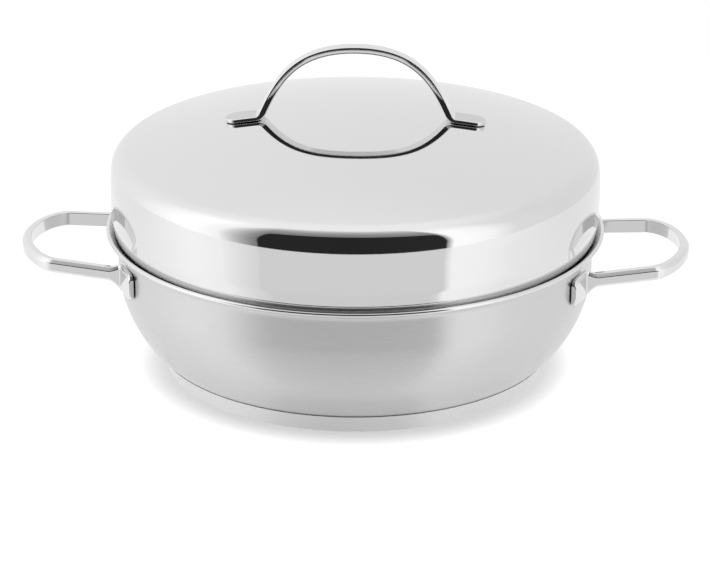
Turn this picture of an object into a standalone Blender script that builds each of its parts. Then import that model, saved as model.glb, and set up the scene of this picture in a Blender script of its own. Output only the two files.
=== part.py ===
"""A stovetop smoker pan: a deep steel pan with a sandwich base and two loop handles, a deep domed
lid with a strap handle, and inside them a drip tray on feet and a wire rack.

Lengths are in metres, +Z is up, and the origin is the centre of the base on the hob. The handles lie
along X. The front is -Y.
"""

import bmesh
import bpy
from math import asin, atan, cos, hypot, pi, radians, sin, sqrt, tan
from mathutils import Matrix, Vector

# Clearances
FIT = 0.0003                  # left between pieces that touch, rest or are welded
SKIRT_CLEARANCE = 0.0009      # all round between the lid's skirt and the pan's wall
RACK_CLEARANCE = 0.0142       # all round between the rack's rim wire and the pan's wall

# Pan body, drawn from one sheet; its outer side
PAN_SHEET = 0.0009
PAN_HEIGHT = 0.0840
WALL_RADIUS = 0.1351          # of the upright part
UPRIGHT_HEIGHT = 0.0168       # of that part, between the bowl and the flared rim
BOWL_SPREAD = 0.0228          # the wall stands out this far past the edge of the flat floor
BOWL_START_ANGLE = radians(41.3)
BOWL_START_PULL = 0.0213      # how far the curve holds its first direction
BOWL_TOP_PULL = 0.0130        # and its last one
FLARE_ANGLE = radians(50)     # the rim leans out this far from upright
FLARE_BEND = 0.0050           # bend radius from the wall into the flare
LIP_BEND = 0.0010             # bend radius from the flare into the flat lip
LIP_WIDTH = 0.0010            # flat ring between that bend and the rounded edge
RIM_WIDTH = 0.0072            # from the wall out to the rim's edge

# Sandwich base
BASE_HEIGHT = 0.0109
CAP_SHEET = 0.0008
CAP_OVERHANG = 0.0005         # the capsule stands out this far past the bowl's lower edge
CAP_LEAN = radians(25)        # its side draws in downwards, this far from upright
CAP_CORNER = 0.0015

# Side handles: a bar bent into a loop, with its ends flattened against the wall
BAR_WIDTH = 0.0052
BAR_HEIGHT = 0.0080
BAR_EDGE = 0.0010
ARM_HALF_SPAN = 0.0447        # between the arms where they meet the wall
ARM_TAPER = atan(0.145)       # each arm leans in towards the other
ARM_TILT = radians(4.6)       # the loop rises outwards
ARM_DROP = 0.0104             # from the start of the flared rim down to the bar's centre
LOOP_REACH = 0.0581           # from the wall to the loop's outermost centre line
LOOP_CROWN = 0.0203           # length of the rounded outer end
LOOP_ROUNDNESS = 1.8          # 2 is an ellipse; less is more pointed
FOOT_THICKNESS = 0.0026
FOOT_LENGTH = 0.0185          # along the wall, from where the arm's middle meets it
FOOT_HEIGHT = 0.0150
FOOT_CORNER = 0.0040
FOOT_BEND = 0.0026            # the turn from foot to arm starts and ends this far from its corner
FOOT_FLARE = 0.0068           # length of arm over which the bar deepens to the foot's height
FOOT_FLARE_POWER = 1.4        # higher is more hollow

# Lid, drawn from one sheet; its outer side
LID_SHEET = 0.0008
LID_INSET = 0.0040            # its wall stands this far inside the rim's edge
LID_SHOULDER = 0.0331         # height of the shoulder over the pan's rim
LID_FILLET = 0.0126
DOME_RADIUS = 0.4530
SKIRT_DEPTH = 0.0170          # below the pan's rim

# Lid handle: a strap bent into an arch, with flattened ends
STRAP_WIDTH = 0.0082
STRAP_THICKNESS = 0.0041
STRAP_EDGE = 0.0009
ARCH_HALF_SPAN = 0.0550       # outer side, where its legs would meet the tabs' top
ARCH_HEIGHT = 0.0397          # outer side over the top of the dome
ARCH_TOP_PULL = 0.0345
ARCH_LEG_PULL = 0.0236
ARCH_LEG_ANGLE = radians(66)
LEG_WIDTH = 0.0105            # of the strap where its legs leave the tabs
LEG_FLARE_STEPS = 5           # stations over which it narrows to the strap's width
TAB_WIDTH = 0.0145
TAB_THICKNESS = 0.0024
TAB_LENGTH = 0.0200
TAB_CORNER = 0.0070
TAB_BEND = 0.0040

# Drip tray
TRAY_SHEET = 0.0008
TRAY_FLOOR_INSET = 0.0143     # of the tray's flat floor inside the pan's
TRAY_SPREAD = 0.0150          # from the edge of its floor out to its rim's edge
TRAY_DEPTH = 0.0110
TRAY_RIM = 0.0035
TRAY_BEND = 0.0040
TRAY_FOOT_HEIGHT = 0.0140
TRAY_FOOT_RADIUS = 0.0060
TRAY_FOOT_TIP_RADIUS = 0.0040
TRAY_FOOT_SHOULDER = 0.0020   # height of its upright part
TRAY_FOOT_ROUND = 0.0009
TRAY_FOOT_INSET = 0.0200      # from the edge of the tray's floor
TRAY_FOOT_COUNT = 4

# Wire rack
RACK_HEIGHT = 0.0300          # from the tray's floor to the top of the grid
RIM_WIRE = 0.0020             # wire radii
GRID_WIRE = 0.0013
LEG_WIRE = 0.0020
LOOP_WIRE = 0.0015
GRID_COUNT = 15
GRID_MARGIN = 0.0130          # from the rim wire to the outermost grid wire
GRID_OVERHANG = 0.0010        # the grid wires end this far past the rim wire's centre
LEG_INSET = 0.0103            # from the edge of the tray's floor to each leg
LEG_OFFSET = 0.0500           # of each bent wire from the middle
LEG_BEND = 0.0070
LIFT_HALF_SPAN = 0.0180
LIFT_HEIGHT = 0.0240
LIFT_BEND = 0.0090

# Fineness of the round forms
SHELL_STEPS = 48
TRAY_STEPS = 40
FOOT_STEPS = 12
WIRE_SIDES = 8
LOOP_STEPS = 12               # along each half of a side handle's outer end

# Sizes and places that follow
PAN_UNDERSIDE = BASE_HEIGHT + FIT
PAN_FLOOR = PAN_UNDERSIDE + PAN_SHEET
FLOOR_EDGE_RADIUS = WALL_RADIUS - BOWL_SPREAD
LIP_RADIUS = WALL_RADIUS + RIM_WIDTH
LIP_START = LIP_RADIUS - PAN_SHEET / 2 - LIP_WIDTH
LIP_UNDERSIDE = PAN_HEIGHT - PAN_SHEET
FLARE_OUT = LIP_START - WALL_RADIUS - FLARE_BEND * (1 - cos(FLARE_ANGLE)) - LIP_BEND * cos(FLARE_ANGLE)
FLARE_UP = FLARE_OUT / tan(FLARE_ANGLE) + FLARE_BEND * sin(FLARE_ANGLE)
FLARE_START = LIP_UNDERSIDE - LIP_BEND * (1 - sin(FLARE_ANGLE)) - FLARE_UP
FLARE_CENTRE = (WALL_RADIUS + FLARE_BEND, FLARE_START)
LIP_CENTRE = (LIP_START, LIP_UNDERSIDE - LIP_BEND)
BOWL_TOP = FLARE_START - UPRIGHT_HEIGHT
ARM_HEIGHT = FLARE_START - ARM_DROP
TRAY_FLOOR_RADIUS = FLOOR_EDGE_RADIUS - TRAY_FLOOR_INSET
TRAY_RADIUS = TRAY_FLOOR_RADIUS + TRAY_SPREAD
TRAY_FOOT_BOTTOM = PAN_FLOOR + FIT
TRAY_UNDERSIDE = TRAY_FOOT_BOTTOM + TRAY_FOOT_HEIGHT + FIT
TRAY_FLOOR = TRAY_UNDERSIDE + TRAY_SHEET
LEG_BOTTOM = TRAY_FLOOR + FIT
LEG_HALF_SPAN = sqrt((TRAY_FLOOR_RADIUS - LEG_INSET) ** 2 - LEG_OFFSET ** 2)
RACK_RADIUS = WALL_RADIUS - PAN_SHEET - RACK_CLEARANCE - RIM_WIRE
GRID_PITCH = 2 * (RACK_RADIUS - GRID_MARGIN) / (GRID_COUNT - 1)
GRID_CENTRE = TRAY_FLOOR + RACK_HEIGHT - GRID_WIRE
GRID_UNDERSIDE = GRID_CENTRE - GRID_WIRE
LID_RADIUS = LIP_RADIUS - LID_INSET
SHOULDER = PAN_HEIGHT + LID_SHOULDER
DOME_CENTRE = SHOULDER - sqrt((DOME_RADIUS - LID_FILLET) ** 2 - (LID_RADIUS - LID_FILLET) ** 2)
DOME_TOP = DOME_CENTRE + DOME_RADIUS


def clear_scene():
    for thing in list(bpy.data.objects):
        bpy.data.objects.remove(thing, do_unlink=True)
    for mesh in list(bpy.data.meshes):
        bpy.data.meshes.remove(mesh)


def metal(name, colour, roughness):
    """A bare metal with its linear colour."""
    material = bpy.data.materials.new(name)
    material.use_nodes = True
    shader = material.node_tree.nodes["Principled BSDF"]
    shader.inputs["Base Color"].default_value = (*colour, 1.0)
    shader.inputs["Metallic"].default_value = 1.0
    shader.inputs["Roughness"].default_value = roughness
    material.diffuse_color = (*colour, 1.0)
    return material


def axis_empty(name, height):
    """The upright axis that a lift-off piece rises along."""
    empty = bpy.data.objects.new(name, None)
    empty.empty_display_size = 0.02
    empty.location = (0.0, 0.0, height)
    bpy.context.scene.collection.objects.link(empty)
    return empty


def add_object(name, mesh, material, parent):
    """Link a mesh made in world coordinates, with its origin on its parent."""
    mesh.materials.append(material)
    thing = bpy.data.objects.new(name, mesh)
    bpy.context.scene.collection.objects.link(thing)
    if parent is not None:
        thing.parent = parent
        mesh.transform(Matrix.Translation(-parent.location))
    return thing


def add_solid(name, bm, material, parent, sharp_angle=radians(35)):
    bmesh.ops.recalc_face_normals(bm, faces=bm.faces)
    mesh = bpy.data.meshes.new(name)
    bm.to_mesh(mesh)
    bm.free()
    mesh.shade_smooth()
    mesh.set_sharp_from_angle(angle=sharp_angle)
    return add_object(name, mesh, material, parent)


# Profiles, as (radius, height) points

def arc(centre, radius, start, end, steps):
    """Points on a circle from one angle to another, both ends included."""
    angles = [start + (end - start) * step / steps for step in range(steps + 1)]
    return [(centre[0] + radius * cos(a), centre[1] + radius * sin(a)) for a in angles]


def bezier(p0, p1, p2, p3, steps):
    points = []
    for step in range(steps + 1):
        t = step / steps
        weights = ((1 - t) ** 3, 3 * t * (1 - t) ** 2, 3 * t * t * (1 - t), t ** 3)
        corners = (p0, p1, p2, p3)
        points.append(tuple(sum(w * c[axis] for w, c in zip(weights, corners)) for axis in (0, 1)))
    return points


def offset_path(points, distance):
    """The same path moved to its left by a distance, with mitred corners."""
    normals = []
    for start, end in zip(points, points[1:]):
        length = hypot(end[0] - start[0], end[1] - start[1])
        normals.append(((start[1] - end[1]) / length, (end[0] - start[0]) / length))
    moved = []
    for index, point in enumerate(points):
        before = normals[max(index - 1, 0)]
        after = normals[min(index, len(normals) - 1)]
        share = 1 + before[0] * after[0] + before[1] * after[1]
        moved.append((point[0] + distance * (before[0] + after[0]) / share,
                      point[1] + distance * (before[1] + after[1]) / share))
    return moved


def from_height(path, height):
    """The part of a rising path above a height, starting on it."""
    for index in range(1, len(path)):
        low, high = path[index - 1], path[index]
        if high[1] > height:
            share = (height - low[1]) / (high[1] - low[1])
            start = (low[0] + share * (high[0] - low[0]), height)
            return [start] + path[index:]
    return path


def turned(name, profile, steps, material, parent=None):
    """A solid of revolution. The profile starts on the axis and runs down its outer side."""
    mesh = bpy.data.meshes.new(name)
    edges = [(index, index + 1) for index in range(len(profile) - 1)]
    mesh.from_pydata([(r, 0.0, z) for r, z in profile], edges, [])
    solid = add_object(name, mesh, material, parent)
    screw = solid.modifiers.new("turn", "SCREW")
    screw.axis = "Z"
    screw.angle = 2 * pi
    screw.steps = steps
    screw.render_steps = steps
    screw.use_merge_vertices = True
    screw.merge_threshold = 0.00001
    screw.use_smooth_shade = True
    return solid


def sheet_edge(start, end):
    """The rounded edge of a sheet, on the right of the way from start to end."""
    middle = ((start[0] + end[0]) / 2, (start[1] + end[1]) / 2)
    half = ((end[0] - start[0]) / 2, (end[1] - start[1]) / 2)
    nose = (middle[0] + half[1], middle[1] - half[0])
    share = sqrt(0.5)
    first = (middle[0] + share * (half[1] - half[0]), middle[1] - share * (half[0] + half[1]))
    last = (middle[0] + share * (half[1] + half[0]), middle[1] + share * (half[1] - half[0]))
    return [first, nose, last]


# Pan and base

def pan_outside():
    """The body's outer side, rising from the floor's edge to the lip."""
    floor_edge = (FLOOR_EDGE_RADIUS, PAN_UNDERSIDE)
    bowl = bezier(floor_edge,
                  (floor_edge[0] + BOWL_START_PULL * cos(BOWL_START_ANGLE),
                   floor_edge[1] + BOWL_START_PULL * sin(BOWL_START_ANGLE)),
                  (WALL_RADIUS, BOWL_TOP - BOWL_TOP_PULL),
                  (WALL_RADIUS, BOWL_TOP), 7)
    flare = arc(FLARE_CENTRE, FLARE_BEND, pi, pi - FLARE_ANGLE, 3)
    lip = arc(LIP_CENTRE, LIP_BEND, pi - FLARE_ANGLE, pi / 2, 2)
    end = (LIP_RADIUS - PAN_SHEET / 2, LIP_UNDERSIDE)
    return bowl + flare + lip + [end]


def make_pan_body(material):
    outside = pan_outside()
    inside = from_height(offset_path(outside, PAN_SHEET), PAN_FLOOR)
    inside[-1] = (inside[-1][0], PAN_HEIGHT)
    lip = sheet_edge(inside[-1], outside[-1])
    lip = [(2 * inside[-1][0] - r, z) if r < inside[-1][0] else (r, z) for r, z in lip]
    profile = [(0.0, PAN_FLOOR)] + inside + lip + outside[::-1] + [(0.0, PAN_UNDERSIDE)]
    return turned("pan_body", profile, SHELL_STEPS, material)


def cap_outside():
    """The capsule's outer side, falling from its edge under the bowl to its flat underside."""
    edge = (FLOOR_EDGE_RADIUS + CAP_OVERHANG, BASE_HEIGHT)
    flat_radius = edge[0] - BASE_HEIGHT * tan(CAP_LEAN) - CAP_CORNER * tan((pi / 2 - CAP_LEAN) / 2)
    return [edge] + arc((flat_radius, CAP_CORNER), CAP_CORNER, -CAP_LEAN, -pi / 2, 3)


def inside_cap(distance):
    """The same side moved in through the capsule, up to its level edge."""
    outside = cap_outside()
    return [(outside[0][0] - distance / cos(CAP_LEAN), BASE_HEIGHT)] + offset_path(outside, -distance)[1:]


def make_base(steel, aluminium):
    """An aluminium disc under the floor, closed in by a shallow steel capsule."""
    cap = [(0.0, CAP_SHEET)] + inside_cap(CAP_SHEET)[::-1] + cap_outside() + [(0.0, 0.0)]
    turned("base_cap", cap, SHELL_STEPS, steel)
    core = [(0.0, BASE_HEIGHT)] + inside_cap(CAP_SHEET + FIT) + [(0.0, CAP_SHEET + FIT)]
    turned("base_core", core, SHELL_STEPS, aluminium)


# Bent bars, as rings of points joined one to the next

def rounded_section(half_width, half_height, corner, steps=2):
    """A rectangle with round corners, as (across, up) points."""
    points = []
    for quarter, (sx, sz) in enumerate(((1, 1), (-1, 1), (-1, -1), (1, -1))):
        centre = (sx * (half_width - corner), sz * (half_height - corner))
        points += arc(centre, corner, quarter * pi / 2, (quarter + 1) * pi / 2, steps)
    return points


def loft(rings):
    """A closed solid through rings of equally many points."""
    bm = bmesh.new()
    rows = [[bm.verts.new(point) for point in ring] for ring in rings]
    for row, following in zip(rows, rows[1:]):
        for index in range(len(row)):
            turn = (index + 1) % len(row)
            bm.faces.new((row[index], row[turn], following[turn], following[index]))
    bm.faces.new(rows[0])
    bm.faces.new(rows[-1])
    return bm


def corner_inset(radius, distance):
    """How far a round corner has drawn in, at a distance from the end of its piece."""
    if distance >= radius:
        return 0.0
    return radius - sqrt(radius ** 2 - (radius - distance) ** 2)


def plan_normals(points):
    """Level unit normals to a path, from each point's neighbours."""
    normals = []
    for index in range(len(points)):
        start = points[max(index - 1, 0)]
        end = points[min(index + 1, len(points) - 1)]
        length = hypot(end[0] - start[0], end[1] - start[1])
        normals.append(((start[1] - end[1]) / length, (end[0] - start[0]) / length))
    return normals


# Side handles

def handle_half():
    """One half of the right loop, from the tip of its foot to the loop's outermost point.

    Each station is (x, y, thickness, top, bottom).
    """
    # The foot is flat and touches the round wall at its middle
    touch_radius = WALL_RADIUS + FIT + FOOT_THICKNESS / 2
    corner_reach = hypot(touch_radius, FOOT_LENGTH / 2)
    touch_angle = asin(ARM_HALF_SPAN / corner_reach) + atan(FOOT_LENGTH / 2 / touch_radius)
    corner = Vector((sqrt(corner_reach ** 2 - ARM_HALF_SPAN ** 2), ARM_HALF_SPAN))
    foot_way = Vector((sin(touch_angle), -cos(touch_angle)))
    arm_way = Vector((cos(ARM_TAPER), -sin(ARM_TAPER)))

    def place(s):
        if s <= -FOOT_BEND:
            return corner + s * foot_way
        if s >= FOOT_BEND:
            return corner + s * arm_way
        t = (s + FOOT_BEND) / (2 * FOOT_BEND)
        before, after = corner - FOOT_BEND * foot_way, corner + FOOT_BEND * arm_way
        return (1 - t) ** 2 * before + 2 * t * (1 - t) * corner + t * t * after

    def bar_height(x):
        return ARM_HEIGHT + tan(ARM_TILT) * (x - corner.x)

    stations = []
    tip_steps = [FOOT_CORNER * share - FOOT_LENGTH for share in (0.04, 0.2, 0.5, 1.0)]
    bend_steps = [FOOT_BEND * (step / 3 - 1) for step in range(7)]
    flare_steps = [FOOT_BEND + (FOOT_FLARE - FOOT_BEND) * step / 3 for step in (1, 2, 3)]
    for s in tip_steps + [-(FOOT_LENGTH - FOOT_CORNER + FOOT_BEND) / 2] + bend_steps + flare_steps:
        x, y = place(s)
        flare = min(max(1 - s / FOOT_FLARE, 0.0), 1.0)
        height = BAR_HEIGHT + (FOOT_HEIGHT - BAR_HEIGHT) * flare ** FOOT_FLARE_POWER
        half_height = height / 2 - corner_inset(FOOT_CORNER, s + FOOT_LENGTH)
        middle = bar_height(max(x, corner.x))
        thickness = BAR_WIDTH + flare * (FOOT_THICKNESS - BAR_WIDTH)
        stations.append((x, y, thickness, middle + half_height, middle - half_height))

    crown_start = corner.x + LOOP_REACH - LOOP_CROWN
    power = 2 / LOOP_ROUNDNESS
    for step in range(LOOP_STEPS + 1):
        angle = step / LOOP_STEPS * pi / 2
        x = crown_start + LOOP_CROWN * sin(angle) ** power
        y = (corner.y - (x - corner.x) * tan(ARM_TAPER)) * max(cos(angle), 0.0) ** power
        height = bar_height(x)
        stations.append((x, y, BAR_WIDTH, height + BAR_HEIGHT / 2, height - BAR_HEIGHT / 2))
    return stations


def make_side_handle(name, side, material):
    half = handle_half()
    stations = half + [(x, -y, *rest) for x, y, *rest in half[-2::-1]]
    stations = [(side * x, y, *rest) for x, y, *rest in stations]
    rings = []
    for (x, y, thickness, top, bottom), (nx, ny) in zip(stations, plan_normals(stations)):
        section = rounded_section(thickness / 2, (top - bottom) / 2, BAR_EDGE)
        middle = (top + bottom) / 2
        rings.append([(x + nx * across, y + ny * across, middle + up) for across, up in section])
    return add_solid(name, loft(rings), material, None)


# Lid

def dome_height(radius):
    return DOME_CENTRE + sqrt(DOME_RADIUS ** 2 - radius ** 2)


def lid_outside():
    """The lid's outer side, falling from the top of the dome to the bottom of its skirt."""
    dome_edge = asin((LID_RADIUS - LID_FILLET) / (DOME_RADIUS - LID_FILLET))
    dome = arc((0.0, DOME_CENTRE), DOME_RADIUS, pi / 2, pi / 2 - dome_edge, 5)
    dome[0] = (0.0, DOME_TOP)
    fillet = arc((LID_RADIUS - LID_FILLET, SHOULDER), LID_FILLET, pi / 2 - dome_edge, 0.0, 5)
    bend_radius = FLARE_BEND + PAN_SHEET + FIT
    bend_end = arc(FLARE_CENTRE, bend_radius, pi - FLARE_ANGLE, pi, 1)[0]
    seat_height = bend_end[1] + (LID_RADIUS - bend_end[0]) / tan(FLARE_ANGLE)
    seat = (LID_RADIUS, seat_height)
    skirt_radius = WALL_RADIUS - PAN_SHEET - SKIRT_CLEARANCE
    neck_pull = (bend_end[0] - skirt_radius) / tan(FLARE_ANGLE)
    neck = bezier(bend_end, (skirt_radius, bend_end[1] - neck_pull),
                  (skirt_radius, bend_end[1] - neck_pull),
                  (skirt_radius, bend_end[1] - 2 * neck_pull), 3)
    skirt_end = (skirt_radius, PAN_HEIGHT - SKIRT_DEPTH)
    return dome + fillet[1:] + [seat] + neck + [skirt_end]


def make_lid_shell(material, parent):
    outside = lid_outside()
    inside = offset_path(outside, -LID_SHEET)
    inside[0] = (0.0, DOME_TOP - LID_SHEET)
    edge = sheet_edge(outside[-1], inside[-1])
    edge = [(r, min(z, outside[-1][1])) for r, z in edge]
    profile = outside + edge + inside[::-1]
    return turned("lid_shell", profile, SHELL_STEPS, material, parent)


def make_lid_handle(material, parent):
    """The strap: two welded tabs that follow the dome, and the arch between them."""
    lift = FIT + TAB_THICKNESS / 2

    def along_tab(x):
        return Vector((x, dome_height(x) + lift))

    leg_way = Vector((-cos(ARCH_LEG_ANGLE), sin(ARCH_LEG_ANGLE)))
    outer_foot = Vector((ARCH_HALF_SPAN, dome_height(ARCH_HALF_SPAN) + FIT + TAB_THICKNESS))
    arch_top = DOME_TOP + ARCH_HEIGHT
    outer_start = outer_foot + TAB_BEND * leg_way
    outer_side = bezier(outer_start, outer_start + (ARCH_LEG_PULL - TAB_BEND) * leg_way,
                        (ARCH_TOP_PULL, arch_top), (0.0, arch_top), 12)
    crown = offset_path(outer_side, STRAP_THICKNESS / 2)
    leg_start = Vector(crown[0])
    foot_x = leg_start.x + (leg_start.y - along_tab(ARCH_HALF_SPAN).y) / tan(ARCH_LEG_ANGLE)
    foot = along_tab(foot_x)

    tab_end = foot_x + TAB_LENGTH
    half = []
    for share in (0.04, 0.2, 0.5, 1.0):
        inset = corner_inset(TAB_CORNER, TAB_CORNER * share)
        half.append((along_tab(tab_end - TAB_CORNER * share), TAB_WIDTH - 2 * inset, TAB_THICKNESS))
    bend_before = along_tab(foot_x + TAB_BEND)
    for step in range(5):
        t = step / 4
        point = (1 - t) ** 2 * bend_before + 2 * t * (1 - t) * foot + t * t * leg_start
        width = TAB_WIDTH + (LEG_WIDTH - TAB_WIDTH) * t
        half.append((point, width, TAB_THICKNESS + (STRAP_THICKNESS - TAB_THICKNESS) * t))
    for index, point in enumerate(crown[1:], 1):
        flare = max(1 - index / LEG_FLARE_STEPS, 0.0) ** 2
        half.append((Vector(point), STRAP_WIDTH + (LEG_WIDTH - STRAP_WIDTH) * flare, STRAP_THICKNESS))

    other_half = [(Vector((-point.x, point.y)), width, thick) for point, width, thick in half[-2::-1]]
    stations = half + other_half
    rings = []
    for (point, width, thick), (nx, nz) in zip(stations, plan_normals([s[0] for s in stations])):
        section = rounded_section(thick / 2, width / 2, STRAP_EDGE)
        rings.append([(point.x + nx * across, along, point.y + nz * across)
                      for across, along in section])
    return add_solid("lid_handle", loft(rings), material, parent)


# Drip tray

def make_drip_tray(material, parent):
    wall_foot = (TRAY_FLOOR_RADIUS, TRAY_UNDERSIDE)
    wall_top = (TRAY_RADIUS - TRAY_RIM, TRAY_UNDERSIDE + TRAY_DEPTH)
    bend = bezier((wall_foot[0] - TRAY_BEND, wall_foot[1]), wall_foot, wall_foot,
                  (wall_foot[0] + TRAY_BEND * sin(pi / 4), wall_foot[1] + TRAY_BEND * cos(pi / 4)), 3)
    rim_end = (TRAY_RADIUS - TRAY_SHEET / 2, wall_top[1])
    outside = bend + [wall_top, rim_end]
    inside = offset_path(outside, TRAY_SHEET)
    inside[0] = (inside[0][0], TRAY_FLOOR)
    edge = sheet_edge(inside[-1], outside[-1])
    edge = [(2 * rim_end[0] - r, z) if r < rim_end[0] else (r, z) for r, z in edge]
    profile = [(0.0, TRAY_FLOOR)] + inside + edge + outside[::-1] + [(0.0, TRAY_UNDERSIDE)]
    return turned("drip_tray", profile, TRAY_STEPS, material, parent)


def make_tray_feet(material, parent):
    """Turned studs under the tray, which leave room for the wood chips."""
    bottom = TRAY_FOOT_BOTTOM
    top = bottom + TRAY_FOOT_HEIGHT
    profile = [(0.0, top), (TRAY_FOOT_RADIUS, top),
               (TRAY_FOOT_RADIUS, top - TRAY_FOOT_SHOULDER),
               (TRAY_FOOT_TIP_RADIUS, bottom + TRAY_FOOT_ROUND),
               (TRAY_FOOT_TIP_RADIUS - TRAY_FOOT_ROUND, bottom), (0.0, bottom)]
    circle = TRAY_FLOOR_RADIUS - TRAY_FOOT_INSET
    for index in range(TRAY_FOOT_COUNT):
        angle = 2 * pi * (index + 0.5) / TRAY_FOOT_COUNT
        foot = turned(f"tray_foot_{index + 1}", profile, FOOT_STEPS, material, parent)
        foot.location = (circle * cos(angle), circle * sin(angle), 0.0)


# Wire rack

def tube(points, radius, sides=WIRE_SIDES):
    """A round wire along a path that lies in an upright plane."""
    path = [Vector(point) for point in points]
    flat = (path[-1] - path[0])
    across = Vector((-flat.y, flat.x, 0.0)).normalized()
    rings = []
    for index, point in enumerate(path):
        way = (path[min(index + 1, len(path) - 1)] - path[max(index - 1, 0)]).normalized()
        up = way.cross(across)
        turns = [2 * pi * (side + 0.5) / sides for side in range(sides)]
        rings.append([point + radius * (cos(a) * across + sin(a) * up) for a in turns])
    return loft(rings)


def bent_wire(half_span, bottom, top, bend, steps=4):
    """A staple: up one leg, round a bend, across, and down again, as (along, height) points."""
    left = [(-half_span, bottom)]
    left += arc((-half_span + bend, top - bend), bend, pi, pi / 2, steps)
    return left + [(-along, height) for along, height in left[::-1]]


def make_rack_rim(material, parent):
    centre = GRID_UNDERSIDE - FIT - RIM_WIRE
    mesh = bpy.data.meshes.new("rack_rim")
    ring = arc((RACK_RADIUS, centre), RIM_WIRE, pi / WIRE_SIDES, pi / WIRE_SIDES + 2 * pi, WIRE_SIDES)
    ring = ring[:-1][::-1]
    edges = [(index, (index + 1) % len(ring)) for index in range(len(ring))]
    mesh.from_pydata([(r, 0.0, z) for r, z in ring], edges, [])
    rim = add_object("rack_rim", mesh, material, parent)
    screw = rim.modifiers.new("turn", "SCREW")
    screw.axis = "Z"
    screw.angle = 2 * pi
    screw.steps = TRAY_STEPS
    screw.render_steps = TRAY_STEPS
    screw.use_merge_vertices = True
    screw.merge_threshold = 0.00001
    screw.use_smooth_shade = True
    return rim


def make_rack_grid(material, parent):
    """Straight wires along Y, laid over the rim wire and the legs' crossbars."""
    reach = RACK_RADIUS + GRID_OVERHANG
    for index in range(GRID_COUNT):
        x = (index - (GRID_COUNT - 1) / 2) * GRID_PITCH
        half = sqrt(reach ** 2 - x ** 2)
        wire = tube([(x, -half, GRID_CENTRE), (x, half, GRID_CENTRE)], GRID_WIRE)
        add_solid(f"rack_wire_{index + 1:02d}", wire, material, parent)


def make_rack_legs(material, parent):
    top = GRID_UNDERSIDE - FIT - LEG_WIRE
    for name, y in (("rack_leg_front", -LEG_OFFSET), ("rack_leg_rear", LEG_OFFSET)):
        path = bent_wire(LEG_HALF_SPAN, LEG_BOTTOM, top, LEG_BEND)
        leg = tube([(x, y, z) for x, z in path], LEG_WIRE)
        add_solid(name, leg, material, parent)


def make_lift_loops(material, parent):
    """Two upright loops on the rim wire, to lift the rack out by."""
    bottom = GRID_UNDERSIDE
    for name, side in (("rack_lift_loop_left", -1), ("rack_lift_loop_right", 1)):
        path = bent_wire(LIFT_HALF_SPAN, bottom, bottom + LIFT_HEIGHT, LIFT_BEND)
        loop = tube([(side * RACK_RADIUS, y, z) for y, z in path], LOOP_WIRE)
        add_solid(name, loop, material, parent)


def build():
    clear_scene()
    brushed = metal("brushed_steel", (0.52, 0.52, 0.52), 0.30)
    polished = metal("polished_steel", (0.72, 0.72, 0.72), 0.08)
    base_steel = metal("base_steel", (0.60, 0.60, 0.60), 0.28)
    tray_steel = metal("tray_steel", (0.58, 0.58, 0.58), 0.22)
    wire_steel = metal("wire_steel", (0.66, 0.66, 0.66), 0.14)
    aluminium = metal("aluminium", (0.78, 0.78, 0.79), 0.40)

    make_pan_body(brushed)
    make_base(base_steel, aluminium)
    make_side_handle("side_handle_left", -1, polished)
    make_side_handle("side_handle_right", 1, polished)

    lid_axis = axis_empty("lid_axis", PAN_HEIGHT)
    make_lid_shell(polished, lid_axis)
    make_lid_handle(polished, lid_axis)

    tray_axis = axis_empty("tray_axis", PAN_FLOOR)
    make_drip_tray(tray_steel, tray_axis)
    make_tray_feet(tray_steel, tray_axis)

    rack_axis = axis_empty("rack_axis", TRAY_FLOOR)
    make_rack_rim(wire_steel, rack_axis)
    make_rack_grid(wire_steel, rack_axis)
    make_rack_legs(wire_steel, rack_axis)
    make_lift_loops(wire_steel, rack_axis)


build()
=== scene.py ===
from math import asin, atan, atan2, cos, hypot, pi, radians, sin, sqrt, tan

import bmesh
import bpy
from mathutils import Matrix, Vector


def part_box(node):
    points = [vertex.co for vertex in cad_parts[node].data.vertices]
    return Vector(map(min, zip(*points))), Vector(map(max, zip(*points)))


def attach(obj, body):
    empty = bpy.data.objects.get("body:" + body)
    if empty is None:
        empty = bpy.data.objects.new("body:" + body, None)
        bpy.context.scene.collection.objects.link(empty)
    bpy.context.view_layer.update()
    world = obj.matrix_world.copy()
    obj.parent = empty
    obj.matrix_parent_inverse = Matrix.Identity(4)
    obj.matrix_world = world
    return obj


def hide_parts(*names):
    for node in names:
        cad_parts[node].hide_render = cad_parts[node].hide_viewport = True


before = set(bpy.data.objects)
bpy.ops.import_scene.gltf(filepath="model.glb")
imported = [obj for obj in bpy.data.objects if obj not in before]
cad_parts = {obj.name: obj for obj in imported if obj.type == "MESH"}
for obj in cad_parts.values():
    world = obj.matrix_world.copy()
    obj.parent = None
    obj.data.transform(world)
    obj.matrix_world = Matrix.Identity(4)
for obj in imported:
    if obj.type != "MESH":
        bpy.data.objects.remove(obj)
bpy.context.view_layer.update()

MM = 0.001


# Camera. A long lens, about 1.7 m away and looking down by 21 degrees, in front of the pan and a
# touch to its right, as the photograph was taken.
CAMERA_LENS = 150.0           # millimetres, as the sensor's width is
CAMERA_SENSOR = 36.0
CAMERA_DISTANCE = 1.583       # level distance from the pan's middle
CAMERA_HEIGHT = 0.6652        # over the table
CAMERA_SIDE = radians(1.5)
CAMERA_DOWN = radians(21.40)
CAMERA_ROLL = radians(0.21)

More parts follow.
